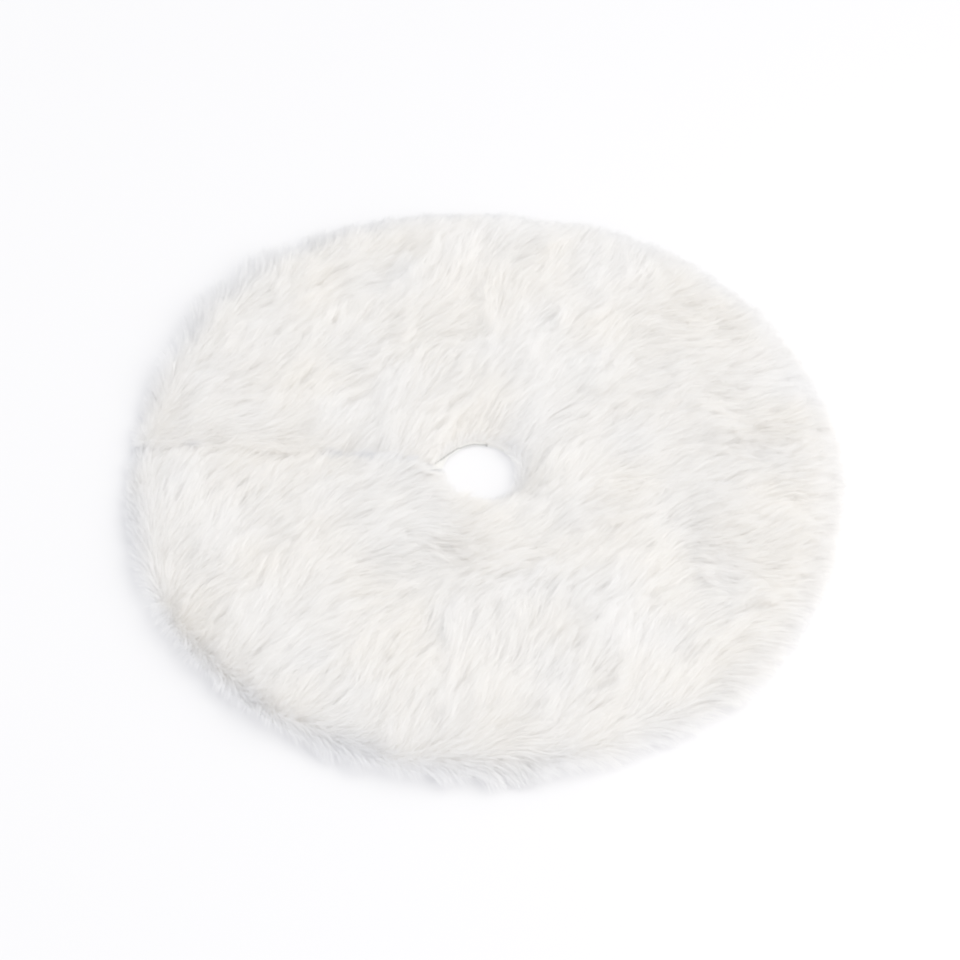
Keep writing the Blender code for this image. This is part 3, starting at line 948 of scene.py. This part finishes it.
def make_edge_cord(material):
    """A cord along the flap's edge: along the slit, across its corner and round the hole to +Y. Its dark
    grey, and its knot's, is painted shadow, for the thin shadow line under the flap's lifted edge.
    """
    along = np.arange(-0.436, CORNER_BEND - 0.014, 0.006)
    t = np.linspace(0, 1, 9)
    start_x, (end_x, end_y) = CORNER_BEND - 0.012, CORNER_MEET
    corner_x = (1 - t) ** 2 * start_x + 2 * t * (1 - t) * CORNER_BEND + t**2 * end_x
    corner_y = (1 - t**2) * CORD_BESIDE_SLIT + t**2 * end_y
    turns = np.radians(np.arange(127.0, 82.0, -3.0))
    radius = HOLE_RADIUS - CORD_INSIDE_HOLE
    x = np.concatenate([along, corner_x, radius * np.cos(turns)])
    y = np.concatenate([np.full(len(along), CORD_BESIDE_SLIT), corner_y, radius * np.sin(turns)])
    over_cloth = np.repeat((0.0011, 0.0014, 0.0), (len(along), len(t), len(turns)))
    path = np.stack([x, y, settled(x, y) + CORD_HEIGHT + over_cloth], -1)
    cord = mesh_object("flap_edge_cord_painted_shadow", *tube(path, CORD_RADIUS, 7, beside=(0.0, 0.0, 1.0)), material)
    upright = [path[-1] + (0.0, 0.0, step) for step in (-0.0014, -0.0006, 0.0006, 0.0014)]
    return cord, mesh_object("flap_edge_knot_painted_shadow", *tube(upright, KNOT_RADIUS, 8), material)


def make_slit_tapes(material):
    made = []
    for name, node in (("underlap_strip", "slit_underlap"), ("slit_back_tape", "slit_back_facing")):
        x_span, y_span, z_span = spans_of(node)
        grid = box_grid(x_span, y_span, 0.004)
        made.append(layered(name, *grid, level(z_span[0] + 0.0002), level(z_span[1]), material))
        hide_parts(node)
    return made


def make_pad(name, node, shape, pitch, facing, material, seed):
    """A tape with rows of hooks or loops on its top (facing 1) or on its underside (facing -1)."""
    x_span, y_span, z_span = spans_of(node)
    base = (z_span[0], z_span[0] + PAD_BACK) if facing > 0 else (z_span[1] - PAD_BACK, z_span[1])
    piece = layered(name, *box_grid(x_span, y_span, 0.002), level(base[0]), level(base[1]), material)
    rng = np.random.default_rng(seed)
    across = np.arange(x_span[0] + pitch, x_span[1] - pitch / 2, pitch)
    along = np.arange(y_span[0] + pitch, y_span[1] - pitch / 2, pitch)
    x, y = [part.ravel() for part in np.meshgrid(across, along)]
    x = x + rng.uniform(-0.15, 0.15, x.size) * pitch
    yaws = rng.uniform(-0.25, 0.25, x.size) if facing > 0 else rng.uniform(-3, 3, x.size)
    root = np.full(x.size, base[1] if facing > 0 else base[0])
    vertices, faces = shape
    shape = vertices * (1, 1, facing), faces[:, ::facing]
    small = mesh_object(name + "_surface", *copies(shape, np.stack([x, y, root], -1), yaws), material)
    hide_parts(node)
    return piece, small


def make_pads(hook_material, loop_material):
    hook = tube([(0, 0, 0), (0, 0, 0.00038), (0.00016, 0, 0.0006), (0.00036, 0, 0.00054)], 0.00010, 4)
    turns = np.radians(np.linspace(0, 180, 6))
    loop = tube([(0.00042 * math.cos(t), 0, 0.0008 * math.sin(t)) for t in turns], 0.00006, 3)
    hooks, loops = [], []
    for number in (1, 2, 3):
        hook_names = (f"hook_pad_{number}", f"hook_tape_{number}")
        loop_names = (f"loop_pad_{number}", f"loop_tape_{number}")
        hooks += make_pad(*hook_names, hook, HOOK_PITCH, 1, hook_material, 60 + number)
        loops += make_pad(*loop_names, loop, LOOP_PITCH, -1, loop_material, 70 + number)
    return hooks, loops


def make_label(material):
    """The blank care label, turned as its CAD solid is, a little curled at its free end."""
    angle = math.radians(LABEL_ANGLE)
    middle = sum(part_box("care_label"), Vector()) / 2
    long, wide = LABEL_HALF
    along, across = box_grid((-long, long), (-wide, wide), 0.0015)
    x = middle.x + along * math.cos(angle) - across * math.sin(angle)
    y = middle.y + along * math.sin(angle) + across * math.cos(angle)
    curl = 0.00012 * np.cos(across / wide * 4) * smoothstep(0.0, long, -along)

    def raised(height):
        return lambda px, py: height + curl

    label = layered("care_label_blank", x, y, raised(0.00022), raised(0.00048), material)
    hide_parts("care_label")
    return label


def arc_run(radius, first, last, height):
    """Places and turns of stitches along an arc."""
    count = int(math.radians(last - first) * radius / STITCH_PITCH)
    angles = np.radians(np.linspace(first, last, count + 2)[1:-1])
    places = np.stack([radius * np.cos(angles), radius * np.sin(angles), np.full(count, height)], -1)
    return places, angles + math.pi / 2


def line_run(start, end, height):
    """Places and turns of stitches along a straight line between two (x, y) points."""
    start, end = np.array(start), np.array(end)
    reach = np.linalg.norm(end - start)
    count = int(reach / STITCH_PITCH)
    share = (np.arange(count)[:, None] + 0.5) / count
    flat = start + (end - start) * share
    yaw = math.atan2(*(end - start)[::-1])
    return np.column_stack([flat, np.full(count, height)]), np.full(count, yaw)


def box_runs(x_span, y_span, inset, height):
    """Four runs of stitches inside a rectangle's edges."""
    x0, x1 = x_span[0] + inset, x_span[1] - inset
    y0, y1 = y_span[0] + inset, y_span[1] - inset
    corners = [(x0, y0), (x1, y0), (x1, y1), (x0, y1), (x0, y0)]
    return [line_run(near, far, height) for near, far in zip(corners, corners[1:])]


def sewn(name, runs, material):
    places = np.concatenate([run[0] for run in runs])
    yaws = np.concatenate([run[1] for run in runs])
    path = [(-0.0014, 0, 0.0002), (-0.0009, 0, 0), (0.0009, 0, 0), (0.0014, 0, 0.0002)]
    return mesh_object(name, *copies(tube(path, STITCH_RADIUS, 5), places, yaws), material)


def make_stitches(material):
    """Rows of lockstitch in the tapes: those that stay down, and those of the flap."""
    rows = (CLOTH_RADIUS - 0.0105, CLOTH_RADIUS - 0.0030, HOLE_RADIUS + 0.0105, HOLE_RADIUS + 0.0030)
    low = STITCH_HEIGHT
    main = [arc_run(radius, -179.6, 90, low) for radius in rows]
    x_span, y_span, _ = spans_of("slit_underlap")
    main += [line_run((x_span[0], y), (x_span[1], y), low) for y in (y_span[0] + 0.002, y_span[0] + 0.010)]
    for number in (1, 2, 3):
        main += box_runs(*spans_of(f"hook_tape_{number}")[:2], 0.0020, low)
    flap = [arc_run(radius, 90, 179.2, low) for radius in rows[:2]]
    hole_runs = [arc_run(radius, 90, 178, low) for radius in rows[2:]]
    for places, _ in hole_runs:
        places[:, 2] += settled(places[:, 0], places[:, 1])
    x_span, y_span, z_span = spans_of("slit_back_facing")
    under_tape = z_span[0] + 0.0002
    flap += hole_runs + box_runs(x_span, y_span, 0.0020, under_tape)
    return sewn("stitches_main", main, material), sewn("stitches_flap", flap, material)


def floor_and_light():
    mesh = bpy.data.meshes.new("floor")
    corners = [(x * FLOOR_HALF, y * FLOOR_HALF, 0) for x, y in ((-1, -1), (1, -1), (1, 1), (-1, 1))]
    mesh.from_pydata(corners, [], [(0, 1, 2, 3)])
    floor = bpy.data.objects.new("floor", mesh)
    bpy.context.scene.collection.objects.link(floor)
    material, _, shader = new_material("floor_white", 0.9)
    shader.inputs["Base Color"].default_value = FLOOR_COLOUR
    shader.inputs["Specular IOR Level"].default_value = 0.0
    mesh.materials.append(material)
    bpy.context.scene.world = studio_world()
    light = bpy.data.lights.new("key", "AREA")
    light.size = LAMP_SIZE
    light.energy = LAMP_POWER
    light.color = GLOW_COLOUR
    lamp = bpy.data.objects.new("key", light)
    lamp.location = LAMP_PLACE
    lamp.rotation_euler = (-Vector(LAMP_PLACE)).to_track_quat("-Z", "Y").to_euler()
    bpy.context.scene.collection.objects.link(lamp)


def studio_world():
    """Soft light from all round, cool and even, with a wide warm glow from the right and the back."""
    world = bpy.data.worlds.new("studio")
    world.use_nodes = True
    tree = world.node_tree
    place = tree.nodes.new("ShaderNodeTexCoord").outputs["Generated"]
    facing = maths(tree, VECTOR_MATH, "DOT_PRODUCT", place, Vector(GLOW_FROM).normalized())["Value"]
    glow = maths(tree, MATH, "POWER", maths(tree, MATH, "MAXIMUM", facing, 0.0)[0], 2.0)[0]
    glow_colour = [GLOW_STRENGTH * part for part in GLOW_COLOUR]
    sky_colour = [SKY_STRENGTH * part for part in SKY_COLOUR]
    warm = maths(tree, VECTOR_MATH, "SCALE", glow_colour, None, None, glow)[0]
    total = maths(tree, VECTOR_MATH, "ADD", warm, sky_colour)[0]
    tree.links.new(total, tree.nodes["Background"].inputs["Color"])
    return world


def make_camera():
    azimuth = math.radians(CAMERA_AZIMUTH)
    elevation = math.radians(CAMERA_ELEVATION)
    level_out = math.cos(elevation)
    away = Vector((math.sin(azimuth) * level_out, -math.cos(azimuth) * level_out, math.sin(elevation)))
    data = bpy.data.cameras.new("camera")
    data.sensor_width = 36
    data.lens = CAMERA_LENS
    data.shift_y = CAMERA_SHIFT
    camera = bpy.data.objects.new("camera", data)
    camera.location = Vector(CAMERA_AIM) + away * CAMERA_DISTANCE
    camera.rotation_euler = (-away).to_track_quat("-Z", "Y").to_euler()
    bpy.context.scene.collection.objects.link(camera)
    bpy.context.scene.camera = camera


def main():
    scene = bpy.context.scene
    scene.view_settings.view_transform = "Standard"
    scene.view_settings.gamma = VIEW_GAMMA
    scene.cycles.diffuse_bounces = 9
    scene.cycles.max_bounces = 12
    scene.cycles.filter_width = 2.4
    make_camera()
    floor_and_light()
    materials = make_materials()
    fur = make_fur(materials["fur"])
    cloths = make_cloths(materials["knit"], materials["lining"])
    facings = make_facings(materials["tape"])
    underlap, back_tape = make_slit_tapes(materials["tape"])
    cord, knot = make_edge_cord(materials["cord"])
    hooks, loops = make_pads(materials["hook"], materials["loop"])
    label = make_label(materials["label"])
    stitches, flap_stitches = make_stitches(materials["thread"])

    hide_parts("fur_cloth_main", "fur_fold_band")
    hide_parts("fur_cloth_flap")
    for part in ("main", "flap"):
        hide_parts(f"lining_{part}")
        for edge in ("hem", "hole"):
            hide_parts(f"{edge}_facing_{part}")

    tapes = {part: [facings["hem", part], facings["hole", part]] for part in ("main", "flap")}
    stay = fur[ROOT] + [cloths["ground", "main"], cloths["lining", "main"], underlap, label, stitches]
    for piece in stay + tapes["main"] + hooks + [knot]:
        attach(piece, ROOT)
    lift = [cloths["ground", "flap"], cloths["lining", "flap"], back_tape, flap_stitches]
    for piece in fur[FLAP] + lift + tapes["flap"] + [cord]:
        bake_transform(piece)
    for piece in loops:
        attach(piece, FLAP)


main()
